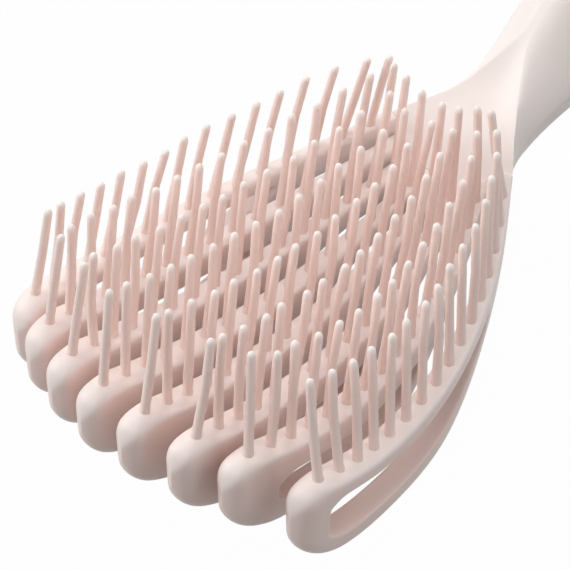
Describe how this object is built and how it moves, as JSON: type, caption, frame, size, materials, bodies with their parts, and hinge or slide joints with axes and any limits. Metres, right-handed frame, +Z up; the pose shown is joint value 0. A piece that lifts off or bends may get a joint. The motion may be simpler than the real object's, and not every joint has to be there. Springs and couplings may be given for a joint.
{
  "type": "scalp massage brush",
  "caption": "Vented scalp massage brush: a fan of looped, sprung fingers carrying rows of blunt pins, on a curved two-shell handle.",
  "frame": {"origin": "centre of the outline, on the surface that the brush rests on", "axes": "+Y towards the end of the handle, +Z up along the pins, +X to the right seen from the front of the fan"},
  "size_m": [0.0706, 0.2124, 0.042],
  "materials": {
    "body_plastic": "satin pale pink",
    "pin_plastic": "satin, warmer pink with paler tips",
    "comb_plastic": "plain moulded"
  },
  "bodies": {
    "handle": {"handle_front_shell": "body_plastic", "handle_rear_shell": "body_plastic", "root_comb": "comb_plastic"},
    "finger_1": {"finger_frame_1": "body_plastic", "pin_strip_1": "pin_plastic"},
    "finger_2": {"finger_frame_2": "body_plastic", "pin_strip_2": "pin_plastic"},
    "finger_3": {"finger_frame_3": "body_plastic", "pin_strip_3": "pin_plastic"},
    "finger_4": {"finger_frame_4": "body_plastic", "pin_strip_4": "pin_plastic"},
    "finger_5": {"finger_frame_5": "body_plastic", "pin_strip_5": "pin_plastic"},
    "finger_6": {"finger_frame_6": "body_plastic", "pin_strip_6": "pin_plastic"},
    "finger_7": {"finger_frame_7": "body_plastic", "pin_strip_7": "pin_plastic"},
    "finger_8": {"finger_frame_8": "body_plastic", "pin_strip_8": "pin_plastic"}
  },
  "joints": [
    {"name": "finger_1_flex", "type": "hinge", "parent": "handle", "child": "finger_1", "pos_m": [-0.01117, -0.01797, 0.01594], "axis": [1, 0, 0], "range_deg": [-3, 6], "stiffness_Nm_per_rad": 1},
    {"name": "finger_2_flex", "type": "hinge", "parent": "handle", "child": "finger_2", "pos_m": [-0.00809, -0.02012, 0.01421], "axis": [1, 0, 0], "range_deg": [-3, 6], "stiffness_Nm_per_rad": 1},
    {"name": "finger_3_flex", "type": "hinge", "parent": "handle", "child": "finger_3", "pos_m": [-0.00489, -0.02155, 0.01305], "axis": [1, 0, 0], "range_deg": [-3, 6], "stiffness_Nm_per_rad": 1},
    {"name": "finger_4_flex", "type": "hinge", "parent": "handle", "child": "finger_4", "pos_m": [-0.00164, -0.02227, 0.01246], "axis": [1, 0, 0], "range_deg": [-3, 6], "stiffness_Nm_per_rad": 1},
    {"name": "finger_5_flex", "type": "hinge", "parent": "handle", "child": "finger_5", "pos_m": [0.00164, -0.02227, 0.01246], "axis": [1, 0, 0], "range_deg": [-3, 6], "stiffness_Nm_per_rad": 1},
    {"name": "finger_6_flex", "type": "hinge", "parent": "handle", "child": "finger_6", "pos_m": [0.00489, -0.02155, 0.01305], "axis": [1, 0, 0], "range_deg": [-3, 6], "stiffness_Nm_per_rad": 1},
    {"name": "finger_7_flex", "type": "hinge", "parent": "handle", "child": "finger_7", "pos_m": [0.00809, -0.02012, 0.01421], "axis": [1, 0, 0], "range_deg": [-3, 6], "stiffness_Nm_per_rad": 1},
    {"name": "finger_8_flex", "type": "hinge", "parent": "handle", "child": "finger_8", "pos_m": [0.01117, -0.01797, 0.01594], "axis": [1, 0, 0], "range_deg": [-3, 6], "stiffness_Nm_per_rad": 1}
  ]
}
